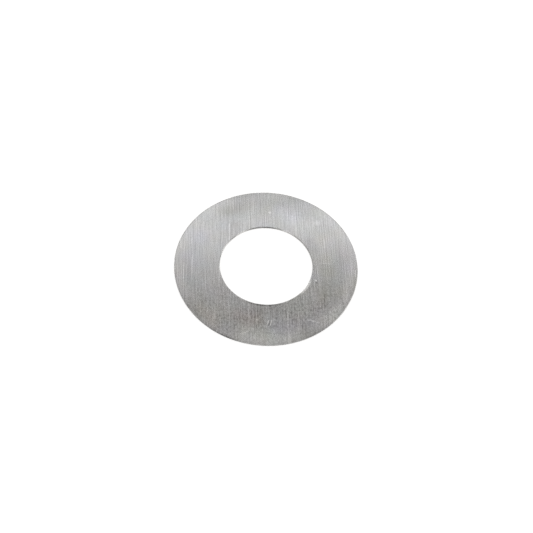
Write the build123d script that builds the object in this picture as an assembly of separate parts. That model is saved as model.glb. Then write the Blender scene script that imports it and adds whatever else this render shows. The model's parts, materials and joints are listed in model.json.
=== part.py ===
from build123d import *
import os

# Shim ring: a thin flat ring blanked and pierced in one stroke from cold-rolled steel strip.
#
# It fills the axial play between a shoulder and a bearing, gear or circlip. It is one piece of strip, with
# no coating and no split. Its bore runs on a shaft and its rim in a housing bore, each with a loose fit.
#
# The axis is Z, the origin is the centre of the face that rests below, +Z points out of the face above, and
# the strip was rolled along Y. All sizes are in millimetres.

# What the ring fits
shaft_diameter = 6.0
housing_diameter = 12.0
thickness = 0.1

# How much looser than the shaft and the housing the ring is, on the diameter
bore_clearance = 0.04
rim_clearance = 0.07

# The sheared edge, the same on the rim and in the bore: the punch first rolls the face over,
# then shears a bright upright land, and then the strip breaks away at a slight slope
roll_over_width = 0.04
roll_over_depth = 0.02
land_height = 0.035
break_back = 0.006

# The corner at the foot of the break, rounded by tumbling
foot_radius = 0.008

bore_radius = (shaft_diameter + bore_clearance) / 2
rim_radius = (housing_diameter - rim_clearance) / 2
land_top = thickness - roll_over_depth
land_foot = land_top - land_height

# Which way a wall's free side faces, along the section's own X
OUTWARD = 1
INWARD = -1

QUARTER_TURN = 90


def section():
    """Half of the ring's cross-section, from the bore's wall to the rim's, with both feet rounded."""
    bore_foot = (bore_radius + break_back, 0)
    rim_foot = (rim_radius - break_back, 0)
    with BuildSketch(Plane.XZ) as sketch:
        with BuildLine():
            Line(bore_foot, rim_foot)
            Line(rim_foot, (rim_radius, land_foot))
            Line((rim_radius, land_foot), (rim_radius, land_top))
            roll_over(rim_radius, OUTWARD)
            Line((rim_radius - roll_over_width, thickness), (bore_radius + roll_over_width, thickness))
            roll_over(bore_radius, INWARD)
            Line((bore_radius, land_top), (bore_radius, land_foot))
            Line((bore_radius, land_foot), bore_foot)
        make_face()
        feet = sketch.vertices().group_by(Axis.Y)[0]
        fillet(feet, foot_radius)
    return sketch.sketch


def roll_over(wall_radius, facing):
    """A quarter of an ellipse that turns the upper face down into a wall."""
    first_angle = 0 if facing == OUTWARD else QUARTER_TURN
    centre = (wall_radius - facing * roll_over_width, land_top)
    return EllipticalCenterArc(centre, roll_over_width, roll_over_depth, first_angle, arc_size=QUARTER_TURN)


def ring():
    """The whole ring: its cross-section turned once round the axis."""
    return revolve(section(), Axis.Z)


os.makedirs("parts", exist_ok=True)
export_step(ring(), "parts/shim_ring.step")
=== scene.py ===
import json
import math
from itertools import pairwise

import bpy
from mathutils import Matrix, Vector, noise


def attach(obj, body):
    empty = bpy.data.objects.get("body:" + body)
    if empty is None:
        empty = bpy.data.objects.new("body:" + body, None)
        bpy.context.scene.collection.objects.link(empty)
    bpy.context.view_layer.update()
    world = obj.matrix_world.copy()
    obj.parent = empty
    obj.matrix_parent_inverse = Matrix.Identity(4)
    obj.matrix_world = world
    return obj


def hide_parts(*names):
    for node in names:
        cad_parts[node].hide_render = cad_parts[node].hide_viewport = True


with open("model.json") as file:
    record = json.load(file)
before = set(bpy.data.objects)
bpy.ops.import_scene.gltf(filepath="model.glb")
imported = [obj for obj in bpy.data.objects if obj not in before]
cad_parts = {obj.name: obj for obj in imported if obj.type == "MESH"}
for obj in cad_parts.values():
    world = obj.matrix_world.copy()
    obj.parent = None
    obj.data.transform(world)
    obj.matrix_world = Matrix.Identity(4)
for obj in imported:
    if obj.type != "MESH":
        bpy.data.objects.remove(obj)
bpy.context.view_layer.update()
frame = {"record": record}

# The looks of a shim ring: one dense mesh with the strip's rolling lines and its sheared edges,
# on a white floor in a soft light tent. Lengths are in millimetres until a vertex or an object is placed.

MM = 0.001
MICRON = 1e-6

# The ring's own sizes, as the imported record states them
mounts = {mount["name"]: mount for mount in frame["record"]["mounts"]}
bore_radius = mounts["bore"]["dims"]["r_mm"]
rim_radius = mounts["rim"]["dims"]["r_mm"]
thickness = mounts["upper_face"]["pos_m"][2] / MM

# The sheared edge, as in the CAD: roll-over, bright land, sloped break and a rounded foot
roll_over_width = 0.04
roll_over_depth = 0.02
land_height = 0.035
break_back = 0.006
foot_radius = 0.008

# How finely the ring is cut up: round the ring, across a face and down each curve of an edge
segments = 720
face_steps = 24
roll_over_steps = 6
foot_steps = 3

# How wide the first and last step across a face are, so that the flat face shades as flat
face_border = 0.008

# How far the strip dips and over what length, and the gain that spreads the dips over that height
sheet_wave_height = 0.002
sheet_wave_length = 2.4
sheet_wave_gain = 0.9

# How uneven the sheared edges are: the land's foot in millimetres, the roll-over as a share of its width
edge_wave_length = 1.6
land_foot_wobble = 0.006
roll_over_wobble = 0.2

# How the map for baking is laid out: the sheared edge wider than life, and a margin round each disc
edge_stretch = 3.0
map_margin = 0.01

# The zones of the cross-section, each with its own material
FACE, LAND, BREAK = range(3)

# Which way a wall's free side faces
OUTWARD = 1.0
INWARD = -1.0

# The slice of the noise that each uneven shape follows, and about how far this noise goes from 0
SHEET_SLICE = 7.3
ROLL_OVER_SLICE = {OUTWARD: 11.0, INWARD: 23.0}
LAND_FOOT_SLICE = {OUTWARD: 15.0, INWARD: 27.0}
NOISE_REACH = 0.5


def round_wobble(angle, noise_slice):
    """A smooth uneven number from about -1 to 1 that closes on itself round the ring."""
    reach = rim_radius / edge_wave_length
    wave = noise.noise(Vector((math.cos(angle) * reach, math.sin(angle) * reach, noise_slice)))
    return wave / NOISE_REACH


def sheet_dip(x, y):
    """How far the strip dips at a place, from 0 to the wave height."""
    wave = noise.noise(Vector((x / sheet_wave_length, y / sheet_wave_length, SHEET_SLICE)))
    return sheet_wave_height * min(max(0.5 + sheet_wave_gain * wave, 0.0), 1.0)


def quarter_turn(steps):
    """The angles that divide a quarter turn, without its last one."""
    return [math.radians(90.0) * step / steps for step in range(steps)]


def edge_points(wall_radius, facing, angle):
    """The sheared edge from the upper face down to the lower one, as radius, height and zone."""
    width = roll_over_width * (1.0 + roll_over_wobble * round_wobble(angle, ROLL_OVER_SLICE[facing]))
    land_top = thickness - roll_over_depth
    land_foot = land_top - land_height + land_foot_wobble * round_wobble(angle, LAND_FOOT_SLICE[facing])
    foot = wall_radius - facing * break_back
    points = []
    for turn in quarter_turn(roll_over_steps):
        radius = wall_radius - facing * width * (1.0 - math.sin(turn))
        points.append((radius, land_top + roll_over_depth * math.cos(turn), FACE))
    points.append((wall_radius, land_top, LAND))
    points.append((wall_radius, land_foot, BREAK))
    for turn in quarter_turn(foot_steps):
        radius = foot - facing * foot_radius * (1.0 - math.cos(turn))
        points.append((radius, foot_radius * (1.0 - math.sin(turn)), BREAK))
    points.append((foot - facing * foot_radius, 0.0, FACE))
    return points


def face_radii(first, last):
    """Radii across a face, without its borders: the outermost are one narrow step inside them."""
    border = math.copysign(face_border, last - first)
    start, end = first + border, last - border
    return [start + (end - start) * step / face_steps for step in range(face_steps + 1)]


def section_points(angle):
    """The cross-section at an angle, over the top from bore to rim, down, back below and up the bore.

    Each point has the zone of the step that leads from it to the next one."""
    rim_edge = edge_points(rim_radius, OUTWARD, angle)
    bore_edge = edge_points(bore_radius, INWARD, angle)
    inner, outer = bore_edge[0][0], rim_edge[0][0]
    top = [(inner, thickness, FACE)] + [(radius, thickness, FACE) for radius in face_radii(inner, outer)]
    below = [(radius, 0.0, FACE) for radius in face_radii(rim_edge[-1][0], bore_edge[-1][0])]
    upward = [(*lower[:2], upper[2]) for upper, lower in pairwise(bore_edge)]
    return top + rim_edge + below + upward[::-1]


def segment_angle(segment):
    """The angle at which a segment of the ring starts."""
    return math.radians(360.0) * segment / segments


def ring_vertices():
    """The section at each segment, thinner than the CAD's by the wave height so that its dips stay inside."""
    vertices = []
    for segment in range(segments):
        angle = segment_angle(segment)
        for radius, height, _ in section_points(angle):
            x, y = radius * math.cos(angle), radius * math.sin(angle)
            dip = sheet_dip(x, y)
            lift = (sheet_wave_height - dip) * (1.0 - height / thickness)
            drop = dip * height / thickness
            vertices.append((x * MM, y * MM, (height + lift - drop) * MM))
    return vertices


def ring_mesh():
    """The ring's mesh, with a map of the rolling direction and a map for baking."""
    section = section_points(0.0)
    count = len(section)
    faces = []
    for segment in range(segments):
        here, there = segment * count, (segment + 1) % segments * count
        for index in range(count):
            after = (index + 1) % count
            faces.append((here + index, here + after, there + after, there + index))
    mesh = bpy.data.meshes.new("shim_ring_steel")
    mesh.from_pydata(ring_vertices(), [], faces)
    mesh.polygons.foreach_set("material_index", [zone for _, _, zone in section] * segments)
    mesh.polygons.foreach_set("use_smooth", [True] * len(faces))
    add_map(mesh, "rolling", rolling_steps(section))
    add_map(mesh, "OFBake", baking_steps(section))
    return mesh


def add_map(mesh, name, steps):
    """A UV map from the section's steps, each a function of the angle and its value at either end."""
    corners = []
    for segment in range(segments):
        angle, after = segment_angle(segment), segment_angle(segment + 1)
        for point, start, end in steps:
            corners += [*point(start, angle), *point(end, angle), *point(end, after), *point(start, after)]
    mesh.uv_layers.new(name=name).data.foreach_set("uv", corners)


def rolling_steps(section):
    """U runs across the rolling lines on a face and round the ring on a wall: gloss spreads along U."""
    def on_face(radius, angle):
        return radius * math.cos(angle), radius * math.sin(angle)

    def on_wall(height, angle):
        return angle * rim_radius, height

    steps = []
    for first, second in pairwise([*section, section[0]]):
        if first[2] == FACE:
            steps.append((on_face, first[0], second[0]))
        else:
            steps.append((on_wall, first[1], second[1]))
    return steps


def baking_steps(section):
    """Two discs that fill the map: the upper face with both edges laid out beside it, and the lower one."""
    closed = [*section, section[0]]
    edge_count = len(edge_points(rim_radius, OUTWARD, 0.0)) - 1
    rim_top = face_steps + 2
    rim_foot = rim_top + edge_count
    bore_foot = len(section) - edge_count

    radii = [radius for radius, _, _ in closed]
    laid_out = [radii[rim_top]]
    for first, second in pairwise(closed[rim_top:rim_foot + 1]):
        laid_out.append(laid_out[-1] + edge_stretch * math.dist(first[:2], second[:2]))
    laid_in = [radii[-1]]
    for first, second in pairwise(reversed(closed[bore_foot:])):
        laid_in.append(laid_in[-1] - edge_stretch * math.dist(first[:2], second[:2]))

    # Two discs of radius 1 fit in opposite corners of a square of this side
    side = 2.0 + math.sqrt(2.0)
    reach = max(laid_out) * (1.0 + map_margin)

    def on_upper(radius, angle):
        share = radius / reach
        return (1.0 + share * math.cos(angle)) / side, (1.0 + share * math.sin(angle)) / side

    def on_lower(radius, angle):
        u, v = on_upper(radius, -angle)
        return 1.0 - u, 1.0 - v

    top = pairwise(radii[:rim_top + 1])
    below = pairwise(radii[rim_foot:bore_foot + 1])
    steps = [(on_upper, *ends) for ends in (*top, *pairwise(laid_out))]
    steps += [(on_lower, *ends) for ends in below]
    steps += [(on_upper, *ends) for ends in pairwise(reversed(laid_in))]
    return steps


# The vector calculations that give a number
NUMBER_FROM_VECTORS = ("DOT_PRODUCT", "LENGTH", "DISTANCE")

# The mix node's sockets for colours
MIX_FIRST, MIX_SECOND, MIX_RESULT = 6, 7, 2


class Nodes:
    """Builds a tree of shader nodes."""

    def __init__(self, owner):
        owner.use_nodes = True
        self.tree = owner.node_tree
        self.tree.nodes.clear()

    def add(self, kind, inputs=None, **settings):
        """A new node with its settings made and its inputs set or linked."""
        made = self.tree.nodes.new(kind)
        for name, value in settings.items():
            setattr(made, name, value)
        for name, value in (inputs or {}).items():
            if isinstance(value, bpy.types.NodeSocket):
                self.tree.links.new(value, made.inputs[name])
            else:
                made.inputs[name].default_value = value
        return made

    def math(self, operation, *terms):
        """A calculation with numbers."""
        return self.add("ShaderNodeMath", dict(enumerate(terms)), operation=operation).outputs[0]

    def vector(self, operation, first, second=None, **inputs):
        """A calculation with vectors."""
        given = {0: first, **inputs}
        if second is not None:
            given[1] = second
        made = self.add("ShaderNodeVectorMath", given, operation=operation)
        return made.outputs["Value" if operation in NUMBER_FROM_VECTORS else "Vector"]

    def split(self, vector):
        """The three parts of a vector."""
        return self.add("ShaderNodeSeparateXYZ", {0: vector}).outputs

    def join(self, x, y, z):
        """A vector from its three parts."""
        return self.add("ShaderNodeCombineXYZ", {0: x, 1: y, 2: z}).outputs[0]

    def clamp(self, value):
        """The value kept from 0 to 1. A clamp built into another node makes Cycles hold every mark at once,
        which is more than its stack takes, so it is a node of its own."""
        return self.add("ShaderNodeClamp", {"Value": value}).outputs[0]

    def span(self, value, low, high, smooth=True):
        """0 at low and 1 at high, and in between a smooth or a straight rise."""
        kind = "SMOOTHSTEP" if smooth else "LINEAR"
        ends = {"Value": value, "From Min": low, "From Max": high}
        made = self.add("ShaderNodeMapRange", ends, interpolation_type=kind, clamp=not smooth)
        return made.outputs["Result"]

    def sum(self, total, *parts):
        """A total and the parts added to it, each a value and its weight."""
        for value, weight in parts:
            total = self.math("MULTIPLY_ADD", value, weight, total)
        return total


# How far apart the noise of two seeds is
SEED_STEP = (3.7, 1.9, 5.3)

# How wide the thinnest rolling lines are
line_width = 0.065


class Painter(Nodes):
    """Builds one material of the ring, with places in millimetres."""

    def __init__(self, name):
        self.material = bpy.data.materials.new(name)
        super().__init__(self.material)
        place = self.add("ShaderNodeTexCoord").outputs["Object"]
        self.place = self.vector("SCALE", place, Scale=1.0 / MM)
        self.flat_place = self.vector("MULTIPLY", self.place, (1.0, 1.0, 0.0))

    def noise(self, place, across, along, seed, detail=0.0):
        """Noise about 0 whose patches are so wide across and so long along the rolling direction."""
        moved = self.vector("MULTIPLY", place, (1.0 / across, 1.0 / along, 1.0))
        moved = self.vector("ADD", moved, tuple(seed * step for step in SEED_STEP))
        made = self.add("ShaderNodeTexNoise", {"Vector": moved, "Scale": 1.0, "Detail": detail})
        return self.math("SUBTRACT", made.outputs[0], 0.5)

    def ridges(self, place, across, along, seed):
        """Thin lines about 0, each beside its own furrow: noise less the same noise a line's width away."""
        aside = self.vector("ADD", place, (line_width, 0.0, 0.0))
        here = self.noise(place, across, along, seed)
        return self.math("SUBTRACT", here, self.noise(aside, across, along, seed))

    def blend(self, total, layers, weights):
        """The total and each layer that has a weight."""
        return self.sum(total, *[(layers[name], weight) for name, weight in weights.items()])

    def bump(self, height, unit):
        """The surface's normal, bent by a height in this unit."""
        return self.add("ShaderNodeBump", {"Strength": 1.0, "Distance": unit, "Height": height}).outputs[0]

    def finish(self, anisotropic, **inputs):
        """The metal itself, its gloss spread across the rolling lines."""
        tangent = self.add("ShaderNodeTangent", direction_type="UV_MAP", uv_map="rolling")
        shader = self.add("ShaderNodeBsdfPrincipled", {
            "Metallic": 1.0, "Anisotropic": anisotropic, "Tangent": tangent.outputs[0],
            **{name.replace("_", " "): value for name, value in inputs.items()}})
        self.add("ShaderNodeOutputMaterial", {"Surface": shader.outputs[0]})
        return self.material


# Scratches and specks on the upper face, lighter as painted glints: start x, y, end x, y, half width, how
# much lighter or darker
SCRATCHES_AND_GLINTS = (
    (0.40, 4.25, 0.40, 4.25, 0.14, 0.50),
    (-2.34, 3.35, -2.36, 2.00, 0.05, 0.36),
    (1.90, 4.04, 1.86, 3.29, 0.06, 0.22),
    (2.10, 3.95, 2.08, 2.38, 0.06, 0.20),
    (-0.68, 5.75, -0.72, 4.30, 0.05, 0.20),
    (0.39, 5.95, 0.37, 5.40, 0.05, 0.22),
    (0.28, 5.95, 0.26, 5.40, 0.05, -0.22),
    (1.34, 5.14, 1.32, 4.72, 0.05, -0.20),
    # A bright speck, lighter as a painted glint, and just under it its painted shadow
    (3.17, -1.24, 3.17, -1.24, 0.10, 1.30),
    (3.17, -1.36, 3.19, -1.42, 0.09, -0.35),
    (3.55, 3.36, 3.55, 3.36, 0.36, 0.20),
    (3.94, 1.96, 3.91, 1.31, 0.05, 0.25),
    (3.59, 0.10, 3.90, 0.11, 0.06, 0.22),
    (3.90, 0.11, 4.24, 0.03, 0.06, 0.18),
    (5.26, 0.11, 5.26, 0.11, 0.08, 0.30),
    (5.78, -0.52, 5.75, -0.91, 0.06, 0.45),
    (-1.20, -2.95, -1.26, -4.94, 0.05, 0.45),
    (-2.44, -3.03, -2.45, -5.21, 0.05, 0.24),
    (-0.22, -4.12, -0.30, -4.30, 0.05, 0.45),
    (0.00, -4.20, -0.11, -4.49, 0.05, 1.20),
    (0.17, -4.20, 0.08, -4.53, 0.05, 1.30),
    (0.08, -4.27, -0.01, -4.57, 0.04, -0.55),
    (-0.69, -4.15, -0.69, -4.15, 0.12, 0.50),
    (-0.61, -4.00, -0.61, -4.00, 0.20, 0.14),
    (-0.79, -4.53, -0.80, -4.73, 0.05, -0.40),
    (2.47, -4.19, 2.81, -4.27, 0.05, 0.62),
    (2.81, -4.27, 3.21, -4.43, 0.05, 0.46),
    (-1.83, -5.15, -1.07, -4.87, 0.05, 0.34),
    (0.20, -4.96, 0.18, -5.39, 0.05, 0.40),
    (-0.30, -5.84, 0.19, -5.86, 0.05, 0.20),
    (-5.54, 2.09, -5.53, 1.37, 0.05, 0.32),
    (-5.35, 0.26, -5.34, -0.97, 0.05, 0.26),
    (-4.77, 0.73, -4.76, -0.59, 0.05, 0.22),
    (-3.60, 2.73, -3.60, 2.73, 0.12, 0.18),
)

# Lighter or darker patches and stains on the upper face, those lighter along the rim painted sheen: start,
# end, reach, how much lighter, redder and bluer
STAIN_AND_SHEEN_PATCHES = (
    (1.1, 4.2, 2.6, 3.2, 1.0, 0.07, -0.012, 0.022),
    (-2.2, 2.6, -2.0, 3.2, 0.7, -0.10, 0.010, -0.022),
    (-1.6, 4.6, -2.2, 4.4, 0.9, -0.10, 0.0, -0.010),
    (3.0, 1.8, 3.1, 1.2, 0.6, -0.10, 0.005, -0.010),
    (3.8, -1.6, 3.6, -2.9, 0.7, -0.05, 0.0, -0.020),
    (4.0, -0.5, 4.0, -0.5, 0.8, -0.04, 0.0, -0.025),
    (3.4, -3.3, 3.4, -3.3, 0.9, -0.09, 0.010, 0.020),
    (-1.9, -3.8, -0.9, -4.0, 1.0, -0.09, 0.050, -0.012),
    (-4.0, -2.5, -4.0, -2.5, 0.8, -0.04, 0.010, -0.010),
    (-3.9, -1.2, -3.7, -2.0, 0.7, 0.05, 0.0, 0.010),
    (5.6, -0.1, 5.0, -2.7, 0.6, 0.12, 0.010, 0.010),
    (-5.7, -0.6, -5.4, -2.0, 0.5, 0.06, 0.010, 0.0),
    (4.0, -3.6, 3.3, -4.2, 1.1, 0.14, 0.0, 0.0),
    (2.8, -4.6, 2.8, -4.6, 0.7, 0.07, 0.0, 0.020),
    (0.6, -3.4, -0.9, -3.4, 0.7, -0.12, 0.0, 0.0),
    (-0.6, -5.1, -1.8, -4.9, 1.1, 0.12, 0.0, 0.0),
    (1.6, -5.3, -1.6, -5.3, 0.9, 0.16, -0.020, -0.012),
    (-4.3, 2.3, -4.3, 0.6, 1.0, -0.02, -0.010, 0.040),
    (-4.1, -3.2, -3.4, -4.5, 0.7, 0.0, 0.022, -0.010),
    (0.4, -4.7, 2.2, -4.4, 1.0, 0.0, 0.008, 0.055),
    (5.2, 0.9, 5.3, -0.2, 0.8, 0.0, 0.018, 0.015),
    (3.7, 1.9, 3.6, 0.6, 0.9, 0.0, 0.014, -0.030),
    (-5.2, 0.6, -4.9, -0.8, 0.8, 0.0, -0.004, 0.032),
)

# Places round the edges painted lighter or darker, as painted sheen and shade: x, y, reach, how much lighter
# or darker
EDGE_SHEEN_AND_SHADE = (
    (-2.6, 1.5, 1.0, 1.2),
    (-1.5, 2.6, 0.8, 1.2),
    (0.1, 3.0, 1.2, -0.45),
    (1.6, 2.6, 0.9, 0.55),
    (-3.1, 0.0, 1.0, 0.25),
    (3.1, -0.1, 0.8, -0.30),
    (2.5, -1.8, 0.9, 1.5),
    (-0.4, -3.0, 1.6, -0.50),
    (-2.8, -5.2, 2.4, -0.60),
    (2.4, -5.4, 2.4, -0.25),
    (5.2, -3.0, 1.6, 0.5),
)

# How much lighter the worn band along the rim is, a painted sheen, and the places where it is more or less so
rim_sheen_light = 0.055
RIM_SHEEN_PLACES = (
    (5.4, 2.2, 2.4, 0.03),
    (3.0, 5.0, 2.6, 0.01),
    (0.2, 5.8, 2.4, 0.14),
    (-2.9, 5.1, 2.2, 0.16),
    (-5.4, 2.0, 2.4, -0.03),
    (-4.6, -3.4, 1.6, -0.12),
    (0.2, -5.7, 2.8, 0.17),
    (2.4, -5.3, 1.6, -0.1),
    (4.5, -3.8, 2.2, 0.16),
)

# Noise in the metal: how wide and how long its patches are, its seed, and any finer detail in it
THIN_LINES = (0.068, 6.0, 21)
HAIR_LINES = (0.06, 1.2, 11)
LONG_LINES = (0.068, 12.0, 2)
LINE_BREAKS = (0.25, 1.2, 12)
GRIT = (0.085, 0.12, 5)
SPECKLE = (0.12, 0.16, 6)
BLOTCH = (1.6, 2.2, 7, 1.0)
REDNESS = (1.1, 1.3, 8, 1.0)
BLUENESS = (1.3, 1.6, 13, 1.0)
EDGE_UNEVEN = (0.5, 0.5, 10, 1.0)
LAND_LINES = (0.06, 0.06, 8)
BREAK_GRIT = (0.02, 0.02, 9, 3.0)

# Where a band along the rim or the bore begins and where it is full, as distances from that edge
RIM_WEAR_AND_SHEEN = (0.95, 0.25)
RIM_SHADE_LINE = (0.22, 0.1)
RIM_EDGE = (0.06, 0.02)
BORE_WEAR = (0.5, 0.1)
FAR_BORE_EDGE = (0.07, 0.02)
NEAR_BORE_EDGE = (0.17, 0.09)

# Where the side near the camera, its pitting and the rubbed far side begin and are full, along Y
NEAR_SIDE = (1.0, -2.0)
PITTED_SIDE = (1.0, -4.0)
RUBBED_SIDE = (1.0, 4.5)

# The pitting of the far side, and how much more of it there is near the camera
far_pitting = 0.45
near_pitting = 0.95

# How much weaker the rolling lines are where the far side is rubbed
rubbed_away = 0.08

# How much of a long line shows on average, and how sharply it breaks off
long_line_level = 0.4
long_line_contrast = 4.0

# From where to where a long line glints
GLINT = (0.10, 0.26)

# How much each layer adds to the rolled lines, and to the face's brightness, roughness and height,
# the height in thousandths of a millimetre
ROLLED_SHARES = {"thin": 0.18, "hair": 0.31, "long": 0.36, "glint": 0.08}
# Of the face's brightness gains, those at the edges and along the rim are painted sheen and shade
GAIN_SHARES = {"rolled": 1.0, "grit": 0.23, "speckle": 0.17, "blotch": 0.06,
               "edge": 0.9, "rim_light": 1.0, "rim_line": -0.055, "bore_wear": -0.02}
ROUGH_SHARES = {"long": 0.08, "grit": 0.14, "speckle": 0.16, "blotch": 0.05, "near_rim": 0.04}
HEIGHT_SHARES = {"thin": 0.15, "hair": 0.15, "speckle": 0.4, "blotch": 3.0}

# How much the noise of the tint adds to red and to blue
red_share = 0.07
blue_share = 0.13

# The rolled face's metal: its colour, its roughness and how far its gloss spreads across the lines
FACE_COLOUR = (0.579, 0.580, 0.5795)
face_roughness = 0.25
face_anisotropy = 1.0

# The land's metal, darkened as painted shade, and what its fine lines add to its brightness and roughness
LAND_COLOUR_WITH_SHADE = (0.315, 0.311, 0.304)
land_roughness = 0.35
land_anisotropy = 0.4
land_lines_gain = 0.6
land_lines_roughness = 0.2

# The break's metal, partly dull torn steel and partly painted shade, and what its grit adds to its
# brightness, roughness and height
BREAK_COLOUR_WITH_SHADE = (0.17, 0.167, 0.163)
break_roughness = 0.62
break_anisotropy = 0.0
break_grit_gain = 1.2
break_grit_roughness = 0.2
break_grit_height = 2.0

# How uneven the light of the sheared edges is
edge_uneven_gain = 0.9

# How far the noise of the upper face is from that of the lower one
faces_apart = 40.0


def touch(paint, start, end, reach, gains):
    """The gains in red, green and blue on the line from start to end, fading to 0 at the reach."""
    run = Vector((end[0] - start[0], end[1] - start[1], 0.0))
    away = paint.vector("SUBTRACT", paint.flat_place, (*start, 0.0))
    if run.length > 0.0:
        share = paint.clamp(paint.vector("DOT_PRODUCT", away, tuple(run / run.length_squared)))
        away = paint.vector("SUBTRACT", away, paint.vector("SCALE", tuple(run), Scale=share))
    near = paint.span(paint.vector("LENGTH", away), reach, 0.0)
    return paint.vector("SCALE", gains, Scale=near)


def touches(paint):
    """All the scratches, specks and patches together, with their painted glints, shadow and sheen, as a gain
    in red, green and blue.
    """
    total = (0.0, 0.0, 0.0)
    for start_x, start_y, end_x, end_y, half_width, light in SCRATCHES_AND_GLINTS:
        made = touch(paint, (start_x, start_y), (end_x, end_y), half_width, (light, light, light))
        total = paint.vector("ADD", total, made)
    for start_x, start_y, end_x, end_y, reach, light, red, blue in STAIN_AND_SHEEN_PATCHES:
        gains = (light + red, light, light + blue)
        made = touch(paint, (start_x, start_y), (end_x, end_y), reach, gains)
        total = paint.vector("ADD", total, made)
    return total


def places_light(paint, places, total):
    """The total and the strength of each place, which fades to 0 at its reach."""
    for x, y, reach, strength in places:
        away = paint.vector("DISTANCE", paint.flat_place, (x, y, 0.0))
        total = paint.sum(total, (paint.span(away, reach, 0.0), strength))
    return total


def edge_sheen_and_shade(paint):
    """How much lighter or darker the sheared edge is at a place round it: uneven tone, and painted sheen and
    shade at the listed places.
    """
    uneven = paint.math("MULTIPLY", paint.noise(paint.flat_place, *EDGE_UNEVEN), edge_uneven_gain)
    return places_light(paint, EDGE_SHEEN_AND_SHADE, uneven)


def rolled_layers(paint, place, y):
    """What rolling left on the strip: lines, grit, speckle and large blotches of tone and tint."""
    thin = paint.ridges(place, *THIN_LINES)
    hair = paint.ridges(place, *HAIR_LINES)
    long = paint.noise(place, *LONG_LINES)
    breaks = paint.sum(long_line_level, (paint.noise(place, *LINE_BREAKS), long_line_contrast))
    long = paint.math("MULTIPLY", long, paint.clamp(breaks))
    glint = paint.span(long, *GLINT)
    lines = {"thin": thin, "hair": hair, "long": long, "glint": glint}
    kept = paint.sum(1.0, (paint.span(y, *RUBBED_SIDE), -rubbed_away))
    pitting = paint.sum(far_pitting, (paint.span(y, *PITTED_SIDE), near_pitting))
    return {
        **lines,
        "rolled": paint.math("MULTIPLY", paint.blend(0.0, lines, ROLLED_SHARES), kept),
        "grit": paint.math("MULTIPLY", paint.noise(place, *GRIT), pitting),
        "speckle": paint.math("MULTIPLY", paint.noise(place, *SPECKLE), pitting),
        "blotch": paint.noise(place, *BLOTCH),
        "redness": paint.noise(place, *REDNESS),
        "blueness": paint.noise(place, *BLUENESS),
    }


def border_layers(paint, y):
    """Bands along the rim and the bore: painted sheen and shade at the edges, a worn rim band lighter as
    painted sheen, a painted shade line along the rim, and wear at the bore, some of it only on the side near
    the camera.
    """
    radius = paint.vector("LENGTH", paint.flat_place)
    near = paint.span(y, *NEAR_SIDE)

    def rim_band(start, full):
        return paint.span(radius, rim_radius - start, rim_radius - full)

    def bore_band(start, full):
        return paint.span(radius, bore_radius + start, bore_radius + full)

    # Painted shade and sheen at the bore's edge, in a wider band on the side near the camera, where the
    # roll-over slopes away
    far_bore = paint.clamp(paint.math("SUBTRACT", bore_band(*FAR_BORE_EDGE), near))
    near_bore = paint.math("MULTIPLY", bore_band(*NEAR_BORE_EDGE), near)
    bore_edge = paint.math("ADD", far_bore, near_bore)
    painted_edge_band = paint.math("ADD", bore_edge, rim_band(*RIM_EDGE))
    rim_wear_and_sheen = rim_band(*RIM_WEAR_AND_SHEEN)
    return {
        "edge": paint.math("MULTIPLY", painted_edge_band, edge_sheen_and_shade(paint)),
        # The worn rim band, lighter as painted sheen
        "rim_light": paint.math("MULTIPLY", rim_wear_and_sheen, places_light(paint, RIM_SHEEN_PLACES, rim_sheen_light)),
        # A painted shade line along the rim, on the side near the camera
        "rim_line": paint.math("MULTIPLY", rim_band(*RIM_SHADE_LINE), near),
        "near_rim": paint.math("MULTIPLY", rim_wear_and_sheen, near),
        "bore_wear": bore_band(*BORE_WEAR),
    }


def face_colour(paint, layers, upper):
    """The face's colour with its layers, some of them painted sheen and shade, and on the upper face its
    scratches and patches with their painted glints, shadow and sheen.
    """
    red = paint.sum(1.0, (layers["redness"], red_share))
    blue = paint.sum(1.0, (layers["blueness"], blue_share))
    colour = paint.vector("MULTIPLY", FACE_COLOUR, paint.join(red, 1.0, blue))
    gain = paint.blend(1.0, layers, GAIN_SHARES)
    marks = paint.vector("SCALE", touches(paint), Scale=upper)
    return paint.vector("MULTIPLY", colour, paint.vector("ADD", paint.join(gain, gain, gain), marks))


def face_material():
    """The strip's rolled face."""
    paint = Painter("rolled_face")
    x, y, z = paint.split(paint.place)
    upper = paint.math("GREATER_THAN", z, thickness / 2)
    place = paint.join(x, y, paint.math("MULTIPLY", upper, faces_apart))
    layers = {**rolled_layers(paint, place, y), **border_layers(paint, y)}
    colour = face_colour(paint, layers, upper)
    rough = paint.blend(face_roughness, layers, ROUGH_SHARES)
    normal = paint.bump(paint.blend(0.0, layers, HEIGHT_SHARES), MICRON)
    return paint.finish(face_anisotropy, Base_Color=colour, Roughness=rough, Normal=normal)


def land_material():
    """The upright band that the punch sheared and burnished, darkened as painted shade."""
    paint = Painter("sheared_land")
    lines = paint.noise(paint.place, *LAND_LINES)
    gain = paint.sum(1.0, (lines, land_lines_gain), (edge_sheen_and_shade(paint), 1.0))
    colour = paint.vector("SCALE", LAND_COLOUR_WITH_SHADE, Scale=gain)
    rough = paint.sum(land_roughness, (lines, land_lines_roughness))
    return paint.finish(land_anisotropy, Base_Color=colour, Roughness=rough)


def break_material():
    """The torn, matt band below the land, where the strip broke, darker still as painted shade."""
    paint = Painter("broken_edge")
    grit = paint.noise(paint.place, *BREAK_GRIT)
    gain = paint.sum(1.0, (grit, break_grit_gain), (edge_sheen_and_shade(paint), 1.0))
    colour = paint.vector("SCALE", BREAK_COLOUR_WITH_SHADE, Scale=gain)
    rough = paint.sum(break_roughness, (grit, break_grit_roughness))
    normal = paint.bump(grit, break_grit_height * MICRON)
    return paint.finish(break_anisotropy, Base_Color=colour, Roughness=rough, Normal=normal)


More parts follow.
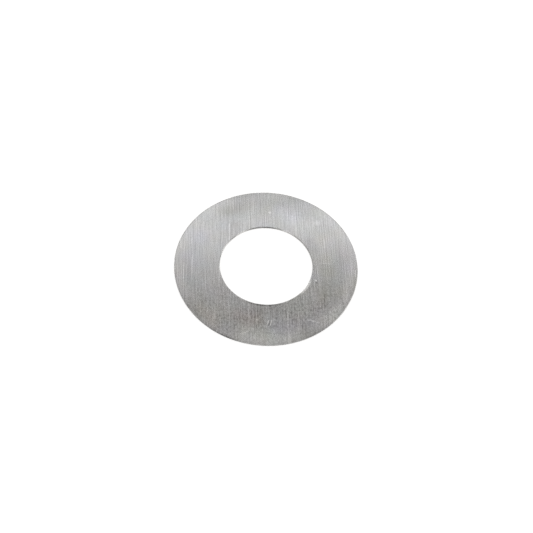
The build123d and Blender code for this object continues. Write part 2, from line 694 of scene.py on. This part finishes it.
def build_ring():
    """The ring as one piece, in place of its CAD node."""
    mesh = ring_mesh()
    for material in (face_material(), land_material(), break_material()):
        mesh.materials.append(material)
    ring = bpy.data.objects.new("shim_ring_steel", mesh)
    bpy.context.scene.collection.objects.link(ring)
    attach(ring, "root")
    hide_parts("shim_ring")


# Where the photograph was taken from: the heading is how far to the right of +Y the camera looks
camera_distance = 64.05
camera_elevation = math.radians(56.04)
camera_heading = math.radians(6.2)
camera_roll = math.radians(4.79)

# How the photograph is framed, in its pixels
picture_side = 533
focal_length = 984.7
ring_centre_pixel = (266.16, 265.31)

# The camera's film, and the nearest and farthest that it sees
sensor_width = 36.0
nearest_seen = 1.0
farthest_seen = 10000.0


def place_camera():
    """The photograph's camera, aimed so that the ring's centre falls where the photograph has it."""
    sine, cosine = math.sin(camera_heading), math.cos(camera_heading)
    level = math.cos(camera_elevation)
    forward = Vector((level * sine, level * cosine, -math.sin(camera_elevation)))
    level_right = Vector((cosine, -sine, 0.0))
    level_up = level_right.cross(forward)
    right = level_right * math.cos(camera_roll) + level_up * math.sin(camera_roll)
    up = level_up * math.cos(camera_roll) - level_right * math.sin(camera_roll)

    centre = Vector((0.0, 0.0, thickness / 2))
    pixel = camera_distance / focal_length
    off_right = (ring_centre_pixel[0] - picture_side / 2) * pixel
    off_up = (picture_side / 2 - ring_centre_pixel[1]) * pixel
    place = centre - forward * camera_distance - right * off_right - up * off_up

    data = bpy.data.cameras.new("camera")
    data.sensor_width = sensor_width
    data.lens = focal_length * sensor_width / picture_side
    data.clip_start = nearest_seen * MM
    data.clip_end = farthest_seen * MM
    camera = bpy.data.objects.new("camera", data)
    axes = Matrix((right, up, -forward)).transposed().to_4x4()
    camera.matrix_world = Matrix.Translation(place * MM) @ axes
    bpy.context.scene.collection.objects.link(camera)
    bpy.context.scene.camera = camera


# The floor, just far enough down that the ring doesn't touch it
floor_half_side = 2000.0
floor_drop = 0.002
floor_glow = 0.62
FLOOR_COLOUR = (0.8, 0.8, 0.8, 1.0)


def floor_material():
    """Matt white, with a glow that the camera, mirror images and glass see and that lights nothing matt."""
    material = bpy.data.materials.new("white_floor")
    nodes = Nodes(material)
    path = nodes.add("ShaderNodeLightPath").outputs
    seen = nodes.math("MAXIMUM", path["Is Camera Ray"], path["Is Glossy Ray"])
    seen = nodes.math("MAXIMUM", seen, path["Is Transmission Ray"])
    glow = nodes.add("ShaderNodeEmission", {"Strength": nodes.math("MULTIPLY", seen, floor_glow)})
    matt = nodes.add("ShaderNodeBsdfDiffuse", {"Color": FLOOR_COLOUR})
    both = nodes.add("ShaderNodeAddShader", {0: matt.outputs[0], 1: glow.outputs[0]})
    nodes.add("ShaderNodeOutputMaterial", {"Surface": both.outputs[0]})
    return material


def build_floor():
    """A wide white floor just under the ring, which keeps the ring's shadow."""
    mesh = bpy.data.meshes.new("floor")
    half, height = floor_half_side * MM, -floor_drop * MM
    corners = [(x * half, y * half, height) for x, y in ((-1, -1), (1, -1), (1, 1), (-1, 1))]
    mesh.from_pydata(corners, [], [(0, 1, 2, 3)])
    mesh.materials.append(floor_material())
    floor = bpy.data.objects.new("floor", mesh)
    bpy.context.scene.collection.objects.link(floor)


# The light tent is a plain level with soft strips that run along X. Each strip is at an angle from the
# upright plane through X toward +Y, fades out over a reach, both in degrees, and is lighter or darker
tent_level = 0.5
TENT_STRIPS = (
    (70.0, 26.0, 0.5),
    (41.0, 4.5, -0.47),
    (36.3, 2.0, 1.2),
    (33.1, 2.5, 0.19),
    (31.1, 2.4, -0.19),
    (-7.0, 11.0, 0.2),
    (-21.0, 8.0, -0.1),
    (-40.0, 9.0, 0.2),
    (-51.0, 8.0, -0.1),
)

# The tent turns plain white toward the floor, between these heights in degrees
white_up_to = 12.0
tent_from = 28.0

# Its dim parts are a little warm and its bright ones a little cool
dim_light = 0.3
bright_light = 1.2
DIM_TINT = (1.027, 1.0, 0.954, 1.0)
BRIGHT_TINT = (0.994, 1.0, 1.010, 1.0)


def light_tent():
    """A white tent round the ring: wide soft strips that run along X, and plain white near the floor."""
    world = bpy.data.worlds.new("light_tent")
    bpy.context.scene.world = world
    nodes = Nodes(world)
    _, toward_y, upward = nodes.split(nodes.add("ShaderNodeTexCoord").outputs["Generated"])
    angle = nodes.math("DEGREES", nodes.math("ARCSINE", toward_y))
    level = tent_level
    for middle, reach, gain in TENT_STRIPS:
        away = nodes.math("ABSOLUTE", nodes.math("SUBTRACT", angle, middle))
        level = nodes.sum(level, (nodes.span(away, reach, 0.0), gain))
    low, high = math.sin(math.radians(white_up_to)), math.sin(math.radians(tent_from))
    light = nodes.sum(1.0, (nodes.math("SUBTRACT", level, 1.0), nodes.span(upward, low, high)))
    bright = nodes.span(light, dim_light, bright_light, smooth=False)
    tints = {"Factor": bright, MIX_FIRST: DIM_TINT, MIX_SECOND: BRIGHT_TINT}
    tint = nodes.add("ShaderNodeMix", tints, data_type="RGBA").outputs[MIX_RESULT]
    background = nodes.add("ShaderNodeBackground", {"Color": tint, "Strength": light})
    nodes.add("ShaderNodeOutputWorld", {"Surface": background.outputs[0]})


place_camera()
build_ring()
build_floor()
light_tent()
bpy.context.scene.view_settings.view_transform = "Standard"
bpy.context.scene.cycles.use_denoising = False
